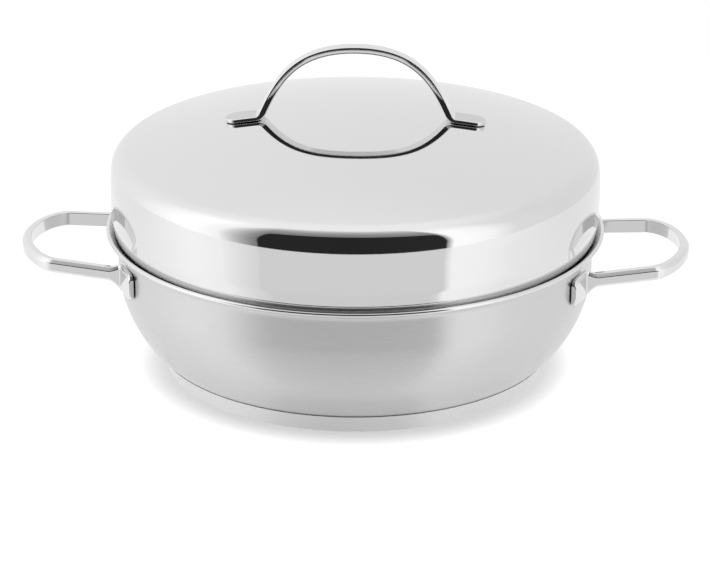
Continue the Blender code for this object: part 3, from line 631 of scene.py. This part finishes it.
def loop_half():
    """Half of the right loop, from the tip of its foot to the outermost point of the loop."""
    touch_radius = WALL_RADIUS + FOOT_GAP + FOOT_THICKNESS / 2
    reach = hypot(touch_radius, FOOT_LENGTH / 2)
    touch_angle = asin(ARM_HALF_SPAN / reach) + atan(FOOT_LENGTH / 2 / touch_radius)
    corner = Vector((sqrt(reach ** 2 - ARM_HALF_SPAN ** 2), ARM_HALF_SPAN))
    foot_way = Vector((sin(touch_angle), -cos(touch_angle)))
    arm_way = Vector((cos(ARM_TAPER), -sin(ARM_TAPER)))
    distances = [FOOT_CORNER * share - FOOT_LENGTH for share in TIP_SHARES]
    distances += [-FOOT_LENGTH + FOOT_CORNER + (FOOT_LENGTH - FOOT_CORNER - FOOT_BEND) * step / 4
                  for step in (1, 2, 3)]
    distances += [FOOT_BEND * (step / 6 - 1) for step in range(13)]
    distances += [FOOT_BEND + (FOOT_FLARE - FOOT_BEND) * step / 8 for step in range(1, 9)]
    rows = []
    for s in distances:
        if s <= -FOOT_BEND:
            x, y = corner + s * foot_way
        elif s >= FOOT_BEND:
            x, y = corner + s * arm_way
        else:
            t = (s + FOOT_BEND) / (2 * FOOT_BEND)
            x, y = ((1 - t) ** 2 * (corner - FOOT_BEND * foot_way) + 2 * t * (1 - t) * corner
                    + t * t * (corner + FOOT_BEND * arm_way))
        flare = min(max(1 - s / FOOT_FLARE, 0.0), 1.0)
        growth = flare ** FOOT_FLARE_POWER
        height = BAR_HEIGHT + (FOOT_HEIGHT - BAR_HEIGHT) * growth
        height -= 2 * corner_inset(FOOT_CORNER, s + FOOT_LENGTH)
        rise = ARM_HEIGHT + tan(ARM_TILT) * (max(x, corner.x) - corner.x) - FOOT_DROP * growth
        rows.append((Vector((x, y, rise)), BAR_WIDTH + flare * (FOOT_THICKNESS - BAR_WIDTH),
                     height))
    crown_start = corner.x + LOOP_REACH - LOOP_CROWN
    last = rows[-1][0]
    for step in (1, 2, 3):
        x = last.x + (crown_start - last.x) * step / 4
        rows.append((Vector((x, corner.y - (x - corner.x) * tan(ARM_TAPER),
                             ARM_HEIGHT + tan(ARM_TILT) * (x - corner.x))), BAR_WIDTH, BAR_HEIGHT))
    crown_y = corner.y - (crown_start - corner.x) * tan(ARM_TAPER)
    pull = CROWN_PULL * LOOP_CROWN
    crown = bezier((crown_start, crown_y), (crown_start + pull, crown_y - pull * tan(ARM_TAPER)),
                   (crown_start + LOOP_CROWN, CROWN_PULL * crown_y),
                   (crown_start + LOOP_CROWN, 0.0), CROWN_STEPS)
    for x, y in crown:
        rows.append((Vector((x, y, ARM_HEIGHT + tan(ARM_TILT) * (x - corner.x))),
                     BAR_WIDTH, BAR_HEIGHT))
    return rows


half = loop_half()
whole = half + [(Vector((p.x, -p.y, p.z)), *sizes) for p, *sizes in half[-2::-1]]
right_loop = extruded_bar("side_loop_right", with_headings(whole, (0, 1)), "Z",
                          (BAR_WIDTH, BAR_HEIGHT), BAR_EDGES)


BUFFING_CLOUDS = 260.0        # to the metre, which makes them 4 mm wide


def polish_marks(tree):
    """Faint clouds, with finer ones in them, that buffing leaves."""
    place = add_node(tree, "ShaderNodeTexCoord").outputs["Object"]
    return add_node(tree, "ShaderNodeTexNoise",
                    {"Vector": place, "Scale": BUFFING_CLOUDS, "Detail": 4.0, "Roughness": 0.65})


# Stainless steel, buffed bright: mirror reflections, very slightly clouded.
buffed_steel = metal("buffed_stainless_steel", "#e8e8e8", (0.05, 0.10), polish_marks, tint=0.03)
right_loop.data.materials.append(buffed_steel)

left_loop = copied(right_loop, right_loop.data, "side_loop_left")
open_whole(left_loop)
bpy.ops.transform.resize(value=(-1.0, 1.0, 1.0), center_override=(0.0, 0.0, 0.0))
bpy.ops.mesh.normals_make_consistent(inside=False)
bpy.ops.object.mode_set(mode="OBJECT")
for loop, node in ((right_loop, "side_handle_right"), (left_loop, "side_handle_left")):
    keep_flats(loop)
    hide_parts(node)
    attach(loop, "pan")


# Lid. One drawn sheet of stainless steel: a shallow dome, a round shoulder, an upright wall whose
# foot leans in on to the pan's flare, and a narrower skirt inside the pan. Polished outside.
LID_SHEET = 0.8 * MM
LID_RADIUS = 138.5 * MM
SHOULDER = 117.1 * MM
LID_FILLET = 12.6 * MM
FILLET_END = radians(6)       # below this lean the shoulder runs out into the wall more gently
FILLET_RUNOUT = 86.0 * MM
DOME_RADIUS = 453.0 * MM
SKIRT_RADIUS = 133.3 * MM
SKIRT_END = 67.0 * MM
CONE_LEAN = radians(8.7)      # the wall's foot leans in, then turns in to rest on the pan's flare
CONE_START = 92.0 * MM
CONE_END = 85.0 * MM
CONE_ROUND = 1.5 * MM
FOOT_PULLS = (2.6 * MM, 2.2 * MM)
SEAT_LEAN = radians(35)
SEAT_GAP = 0.3 * MM
NECK_PULL = 1.8               # the neck under the seat ends this far down, in its own drops
UNDERSIDE = -0.5              # the most that a face inside the dome points up

FILLET_CENTRE = (LID_RADIUS - FILLET_RUNOUT + (FILLET_RUNOUT - LID_FILLET) * cos(FILLET_END),
                 SHOULDER)
DOME_CENTRE = SHOULDER - sqrt((DOME_RADIUS - LID_FILLET) ** 2 - FILLET_CENTRE[0] ** 2)
DOME_TOP = DOME_CENTRE + DOME_RADIUS


def lid_outside(dome_steps, fillet_steps, wall_steps):
    """The lid's outer side, falling from the top of the dome to the bottom of its skirt."""
    edge_angle = asin(FILLET_CENTRE[0] / (DOME_RADIUS - LID_FILLET))
    dome = arc((0.0, DOME_CENTRE), DOME_RADIUS, pi / 2, pi / 2 - edge_angle, dome_steps)
    dome[0] = (0.0, DOME_TOP)
    shoulder = arc(FILLET_CENTRE, LID_FILLET, pi / 2 - edge_angle, FILLET_END, fillet_steps)
    shoulder += arc((LID_RADIUS - FILLET_RUNOUT,
                     SHOULDER - (FILLET_RUNOUT - LID_FILLET) * sin(FILLET_END)),
                    FILLET_RUNOUT, FILLET_END, 0.0, 6)[1:]
    turn = (LID_RADIUS, CONE_START)
    above = (LID_RADIUS, CONE_START + CONE_ROUND)
    below = (LID_RADIUS - CONE_ROUND * sin(CONE_LEAN), CONE_START - CONE_ROUND * cos(CONE_LEAN))
    cone_end = (LID_RADIUS - (CONE_START - CONE_END) * tan(CONE_LEAN), CONE_END)
    seat_radius = FLARE_BEND + SHEET + SEAT_GAP
    seat = (WALL_RADIUS + FLARE_BEND - seat_radius * cos(SEAT_LEAN),
            FLARE_START + seat_radius * sin(SEAT_LEAN))
    foot = bezier(cone_end, (cone_end[0] - FOOT_PULLS[0] * sin(CONE_LEAN),
                             cone_end[1] - FOOT_PULLS[0] * cos(CONE_LEAN)),
                  (seat[0] + FOOT_PULLS[1] * sin(SEAT_LEAN),
                   seat[1] + FOOT_PULLS[1] * cos(SEAT_LEAN)), seat, 2 * wall_steps)
    drop = (seat[0] - SKIRT_RADIUS) / tan(SEAT_LEAN)
    neck = bezier(seat, (SKIRT_RADIUS, seat[1] - drop), (SKIRT_RADIUS, seat[1] - drop),
                  (SKIRT_RADIUS, seat[1] - NECK_PULL * drop), 8)
    return (dome + shoulder[1:] + straight(shoulder[-1], above, wall_steps)
            + bezier(above, turn, turn, below, 4) + straight(below, foot[0], 3) + foot + neck[1:]
            + [(SKIRT_RADIUS, SKIRT_END + LID_SHEET / 2)])


lid_outer = lid_outside(30, 44, 12)
lid_inner = offset_path(lid_outside(16, 16, 6), -LID_SHEET)
lid_inner[0] = (0.0, DOME_TOP - LID_SHEET)
lid = spun("domed_lid", lid_outer + rolled_edge(lid_outer[-1], lid_inner[-1]) + lid_inner[::-1])
lid.data.materials.append(polished_steel)
lid.data.materials.append(satin_steel)
faces_to_slot(lid, 1, lambda centre, normal: normal.z < UNDERSIDE and centre.z > SHOULDER
              or normal.x * centre.x + normal.y * centre.y < 0)
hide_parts("lid_shell")
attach(lid, "lid")


# Lid handle. A flat strap bent into an arch; its ends are pressed into wider, round-ended tabs that
# follow the dome and are spot-welded to it. Buffed bright; the tabs' upward faces get a darker
# steel colour as painted shade.
STRAP_WIDTH = 8.2 * MM
STRAP_THICKNESS = 4.1 * MM
STRAP_EDGES = ((1, 1.1 * MM, 5), (-1, 1.0 * MM, 5))       # outer side, then the side to the lid
LEG_WIDTH = 10.5 * MM         # where its legs leave the tabs
LEG_FLARE = 0.62              # share of each side over which it narrows to the strap's width
ARCH_HALF_SPAN = 55.0 * MM
ARCH_HEIGHT = 39.7 * MM
ARCH_TOP_PULL = 34.5 * MM
ARCH_LEG_PULL = 23.6 * MM
ARCH_LEG_ANGLE = radians(66)
TAB_WIDTH = 14.5 * MM
TAB_THICKNESS = 2.4 * MM
TAB_LENGTH = 20.0 * MM
TAB_CORNER = 7.0 * MM
TAB_BEND = 2.5 * MM
TAB_GAP = 0.3 * MM
TAB_LEVEL = 0.95              # the least that a tab's top points up, as it follows the dome


def dome_height(radius):
    """The height of the dome's outside, at a distance from its middle."""
    return DOME_CENTRE + sqrt(DOME_RADIUS ** 2 - radius ** 2)


def strap_half():
    """Half of the strap, from the tip of the right tab to the top of the arch."""
    lift = TAB_GAP + TAB_THICKNESS / 2
    leg_way = Vector((-cos(ARCH_LEG_ANGLE), sin(ARCH_LEG_ANGLE)))
    outer_foot = Vector((ARCH_HALF_SPAN, dome_height(ARCH_HALF_SPAN) + TAB_GAP + TAB_THICKNESS))
    arch_top = DOME_TOP + ARCH_HEIGHT
    outer_start = outer_foot + TAB_BEND * leg_way
    outer_side = bezier(outer_start, outer_start + (ARCH_LEG_PULL - TAB_BEND) * leg_way,
                        (ARCH_TOP_PULL, arch_top), (0.0, arch_top), 40)
    crown = [Vector(p) for p in offset_path(outer_side, STRAP_THICKNESS / 2)]
    start = crown[0]
    foot_x = start.x + (start.y - dome_height(ARCH_HALF_SPAN) - lift) / tan(ARCH_LEG_ANGLE)
    foot = Vector((foot_x, dome_height(foot_x) + lift))
    tab_end = foot_x + TAB_LENGTH
    rows = []
    for share in TIP_SHARES:
        x = tab_end - TAB_CORNER * share
        width = TAB_WIDTH - 2 * corner_inset(TAB_CORNER, TAB_CORNER * share)
        rows.append((Vector((x, dome_height(x) + lift)), width, TAB_THICKNESS))
    bend_x = foot_x + TAB_BEND
    tab_flat = tab_end - TAB_CORNER
    for step in range(1, 5):
        x = tab_flat + (bend_x - tab_flat) * step / 5
        rows.append((Vector((x, dome_height(x) + lift)), TAB_WIDTH, TAB_THICKNESS))
    bend_start = Vector((bend_x, dome_height(bend_x) + lift))
    for step in range(15):
        t = step / 14
        point = (1 - t) ** 2 * bend_start + 2 * t * (1 - t) * foot + t * t * start
        rows.append((point, TAB_WIDTH + (LEG_WIDTH - TAB_WIDTH) * t,
                     TAB_THICKNESS + (STRAP_THICKNESS - TAB_THICKNESS) * t))
    for index, point in enumerate(crown[1:], 1):
        flare = max(1 - index / len(crown) / LEG_FLARE, 0.0)
        rows.append((point, STRAP_WIDTH + (LEG_WIDTH - STRAP_WIDTH) * flare, STRAP_THICKNESS))
    return [(Vector((point.x, 0.0, point.y)), *sizes) for point, *sizes in rows]


half = strap_half()
whole = half + [(Vector((-p.x, 0.0, p.z)), *sizes) for p, *sizes in half[-2::-1]]
strap = extruded_bar("lid_strap", with_headings(whole, (0, 2)), "Y",
                     (STRAP_WIDTH, STRAP_THICKNESS), STRAP_EDGES)
keep_flats(strap)
# Stainless steel, darker and a little rougher, for the tabs' upward faces: its darker colour is
# painted shade.
tab_top_shade_steel = metal("tab_top_steel_painted_shade", "#d2d2d2", (0.10, 0.16), polish_marks, tint=0.04)
strap.data.materials.append(buffed_steel)
strap.data.materials.append(tab_top_shade_steel)
# The tabs' upward faces take the darker steel: painted shade.
faces_to_slot(strap, 1, lambda centre, normal: normal.z > TAB_LEVEL
              and centre.z < DOME_TOP + TAB_THICKNESS + TAB_GAP)
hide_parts("lid_handle")
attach(strap, "lid")


# Drip tray. A shallow dish pressed from stainless sheet, with a flat rim, lying under the rack to
# catch fat; it stands on four turned studs that leave room for the wood chips.
TRAY_SHEET = 0.8 * MM
TRAY_UNDERSIDE = 26.7 * MM
TRAY_FLOOR_RADIUS = 98.0 * MM
TRAY_RADIUS = 113.0 * MM
TRAY_DEPTH = 11.0 * MM
TRAY_RIM = 3.5 * MM
TRAY_BEND = 4.0 * MM
TRAY_RIM_BEND = 1.2 * MM
STUD_TOP = 26.4 * MM
STUD_BOTTOM = 12.4 * MM
STUD_RADIUS = 6.0 * MM
STUD_TIP_RADIUS = 4.0 * MM
STUD_SHOULDER = 2.0 * MM
STUD_CHAMFER = 0.3 * MM
STUD_ROUND = 0.9 * MM
STUD_CIRCLE = 78.0 * MM
TRAY_STEPS = 192
STUD_STEPS = 40


def tray_outside(bend_steps):
    """The tray's outer side, rising from the edge of its flat floor to the end of its rim."""
    wall_foot = (TRAY_FLOOR_RADIUS, TRAY_UNDERSIDE)
    top = (TRAY_RADIUS - TRAY_RIM, TRAY_UNDERSIDE + TRAY_DEPTH)
    slope = Vector((top[0] - wall_foot[0], top[1] - wall_foot[1])).normalized()
    foot_end = (wall_foot[0] + TRAY_BEND * slope.x, wall_foot[1] + TRAY_BEND * slope.y)
    foot = bezier((wall_foot[0] - TRAY_BEND, wall_foot[1]), wall_foot, wall_foot, foot_end,
                  bend_steps)
    rim_start = (top[0] - TRAY_RIM_BEND * slope.x, top[1] - TRAY_RIM_BEND * slope.y)
    rim = bezier(rim_start, top, top, (top[0] + TRAY_RIM_BEND, top[1]), bend_steps)
    return foot + straight(foot_end, rim_start, 4) + rim + [(TRAY_RADIUS - TRAY_SHEET / 2, top[1])]


tray_outer = tray_outside(10)
tray_inner = offset_path(tray_outer, TRAY_SHEET)
tray_section = ([(TRAY_FLOOR_RADIUS * share, TRAY_UNDERSIDE + TRAY_SHEET)
                 for share in (0.0, 0.3, 0.6, 0.9)]
                + tray_inner + rolled_edge(tray_inner[-1], tray_outer[-1])
                + tray_outer[::-1] + [(0.0, TRAY_UNDERSIDE)])
tray = spun("pressed_drip_tray", tray_section, TRAY_STEPS)
# Stainless steel, satin: the tray's fine rings come from the press and its polishing wheel.
tray_steel = metal("pressed_satin_steel", "#e2e2e2", (0.20, 0.32),
                   lambda tree: turned_streaks(tree, 0.8 * MM, 70 * MM), anisotropy=0.5)
tray.data.materials.append(tray_steel)
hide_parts("drip_tray")
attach(tray, "tray")

stud_section = [(0.0, STUD_TOP), (STUD_RADIUS - STUD_CHAMFER, STUD_TOP),
                (STUD_RADIUS, STUD_TOP - STUD_CHAMFER), (STUD_RADIUS, STUD_TOP - STUD_SHOULDER)]
stud_section += arc((STUD_TIP_RADIUS - STUD_ROUND, STUD_BOTTOM + STUD_ROUND), STUD_ROUND, 0.0,
                    -pi / 2, 6)
stud_section += [(0.0, STUD_BOTTOM)]
stud = spun("tray_stud_1", stud_section, STUD_STEPS)
stud.data.materials.append(turned_steel)
stud_mesh = stud.data.copy()
for number in range(1, 5):
    angle = pi / 2 * (number - 0.5)
    piece = stud if number == 1 else copied(stud, stud_mesh, f"tray_stud_{number}")
    open_whole(piece)
    bpy.ops.transform.translate(value=(STUD_CIRCLE * cos(angle), STUD_CIRCLE * sin(angle), 0.0))
    bpy.ops.object.mode_set(mode="OBJECT")
    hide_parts(f"tray_foot_{number}")
    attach(piece, "tray")


# Wire rack. Straight wires are spot-welded side by side on a ring of thicker wire and on two bent
# leg wires that stand in the tray; two small loops stand on the ring to lift it by. Bright drawn.
RIM_WIRE = 2.0 * MM           # wire radii
GRID_WIRE = 1.3 * MM
LEG_WIRE = 2.0 * MM
LOOP_WIRE = 1.5 * MM
RACK_RADIUS = 118.0 * MM
RIM_CENTRE = 52.6 * MM
GRID_CENTRE = 56.2 * MM
GRID_COUNT = 15
GRID_PITCH = 15.0 * MM
GRID_REACH = RACK_RADIUS + 1.0 * MM
LEG_OFFSET = 50.0 * MM
LEG_BOTTOM = 27.8 * MM
LEG_BEND = 7.0 * MM
LIFT_HALF_SPAN = 18.0 * MM
LIFT_BOTTOM = 54.9 * MM
LIFT_HEIGHT = 24.0 * MM
LIFT_BEND = 9.0 * MM
WIRE_SIDES = 16
WIRE_BEND_STEPS = 10
WIRE_SHARP_ANGLE = radians(40)
ROD_END = 0.6 * MM            # the cut ends of the grid's wires taper over this length
ROD_END_SHARE = 0.6           # to this share of their width
WELD_GAP = 0.3 * MM
WELD_SIZE = (1.5 * MM, 1.5 * MM, 0.7 * MM)

LEG_HALF_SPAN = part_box("rack_leg_front")[1].x - LEG_WIRE
LEG_TOP = GRID_CENTRE - GRID_WIRE - WELD_GAP - LEG_WIRE

# Stainless steel wire, drawn bright: smooth and shiny, very slightly clouded.
drawn_wire = metal("bright_drawn_steel_wire", "#e4e4e4", (0.10, 0.20), polish_marks, tint=0.06)


def wire_end(name, place, radius, turned):
    """A round face, ready to be extruded into a wire."""
    bpy.ops.object.select_all(action="DESELECT")
    bpy.ops.mesh.primitive_circle_add(vertices=WIRE_SIDES, radius=radius, fill_type="NGON",
                                      location=place, rotation=turned)
    piece = bpy.context.object
    piece.name = piece.data.name = name
    bpy.ops.object.transform_apply(location=True, rotation=True, scale=False)
    bpy.ops.object.mode_set(mode="EDIT")
    return piece


def pull(x, y, z):
    """Draws the wire out from its open end."""
    bpy.ops.mesh.extrude_region_move(TRANSFORM_OT_translate={"value": (x, y, z)})


def finish_wire(piece, node):
    """Closes edit mode on a finished wire, and gives it its steel and its place in the rack."""
    bpy.ops.mesh.select_all(action="SELECT")
    bpy.ops.mesh.normals_make_consistent(inside=False)
    bpy.ops.object.mode_set(mode="OBJECT")
    bpy.ops.object.shade_smooth_by_angle(angle=WIRE_SHARP_ANGLE)
    piece.data.materials.append(drawn_wire)
    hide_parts(node)
    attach(piece, "rack")


def add_welds(places):
    """Small flat beads where this wire was pressed and welded on to others."""
    for place in places:
        bpy.ops.mesh.primitive_uv_sphere_add(segments=12, ring_count=6, radius=1.0,
                                             location=place, scale=WELD_SIZE)


ring = arc((RACK_RADIUS, RIM_CENTRE), RIM_WIRE, 0.0, 2 * pi, WIRE_SIDES)[:-1]
rim = spun("rack_ring", ring, TRAY_STEPS, closed=True)
bpy.ops.object.mode_set(mode="EDIT")
finish_wire(rim, "rack_rim")

for number in range(1, GRID_COUNT + 1):
    x = (number - (GRID_COUNT + 1) / 2) * GRID_PITCH
    reach = sqrt(GRID_REACH ** 2 - x ** 2)
    rod = wire_end(f"rack_rod_{number:02d}", (x, -reach, GRID_CENTRE), GRID_WIRE,
                   (pi / 2, 0.0, 0.0))
    for length in (ROD_END, 2 * (reach - ROD_END), ROD_END):
        pull(0.0, length, 0.0)
    select_points(lambda vert: abs(vert.co.y) > reach - ROD_END / 2)
    bpy.ops.transform.resize(value=(ROD_END_SHARE, 1.0, ROD_END_SHARE),
                             center_override=(x, 0.0, GRID_CENTRE))
    meet = sqrt(RACK_RADIUS ** 2 - x ** 2)
    joins = [(x, side * meet, GRID_CENTRE - GRID_WIRE) for side in (-1, 1)]
    if abs(x) < LEG_HALF_SPAN - LEG_BEND:
        joins += [(x, side * LEG_OFFSET, GRID_CENTRE - GRID_WIRE) for side in (-1, 1)]
    add_welds(joins)
    finish_wire(rod, f"rack_wire_{number:02d}")

for name, node, y in (("rack_stand_front", "rack_leg_front", -LEG_OFFSET),
                      ("rack_stand_rear", "rack_leg_rear", LEG_OFFSET)):
    stand = wire_end(name, (-LEG_HALF_SPAN, y, LEG_BOTTOM), LEG_WIRE, (0.0, 0.0, 0.0))
    pull(0.0, 0.0, LEG_TOP - LEG_BEND - LEG_BOTTOM)
    bpy.ops.mesh.spin(steps=WIRE_BEND_STEPS, angle=-pi / 2, axis=(0, 1, 0),
                      center=(-LEG_HALF_SPAN + LEG_BEND, y, LEG_TOP - LEG_BEND))
    pull(2 * (LEG_HALF_SPAN - LEG_BEND), 0.0, 0.0)
    bpy.ops.mesh.spin(steps=WIRE_BEND_STEPS, angle=-pi / 2, axis=(0, 1, 0),
                      center=(LEG_HALF_SPAN - LEG_BEND, y, LEG_TOP - LEG_BEND))
    pull(0.0, 0.0, LEG_BOTTOM - LEG_TOP + LEG_BEND)
    finish_wire(stand, node)

for name, node, side in (("rack_loop_left", "rack_lift_loop_left", -1),
                         ("rack_loop_right", "rack_lift_loop_right", 1)):
    x = side * RACK_RADIUS
    top = LIFT_BOTTOM + LIFT_HEIGHT
    lift_loop = wire_end(name, (x, -LIFT_HALF_SPAN, LIFT_BOTTOM), LOOP_WIRE, (0.0, 0.0, 0.0))
    pull(0.0, 0.0, LIFT_HEIGHT - LIFT_BEND)
    bpy.ops.mesh.spin(steps=WIRE_BEND_STEPS, angle=pi / 2, axis=(1, 0, 0),
                      center=(x, -LIFT_HALF_SPAN + LIFT_BEND, top - LIFT_BEND))
    pull(0.0, 2 * (LIFT_HALF_SPAN - LIFT_BEND), 0.0)
    bpy.ops.mesh.spin(steps=WIRE_BEND_STEPS, angle=pi / 2, axis=(1, 0, 0),
                      center=(x, LIFT_HALF_SPAN - LIFT_BEND, top - LIFT_BEND))
    pull(0.0, 0.0, LIFT_BEND - LIFT_HEIGHT)
    add_welds([(x, end * LIFT_HALF_SPAN, LIFT_BOTTOM) for end in (-1, 1)])
    finish_wire(lift_loop, node)


# The picture shows the colours as they are lit.
bpy.context.scene.view_settings.view_transform = "Standard"
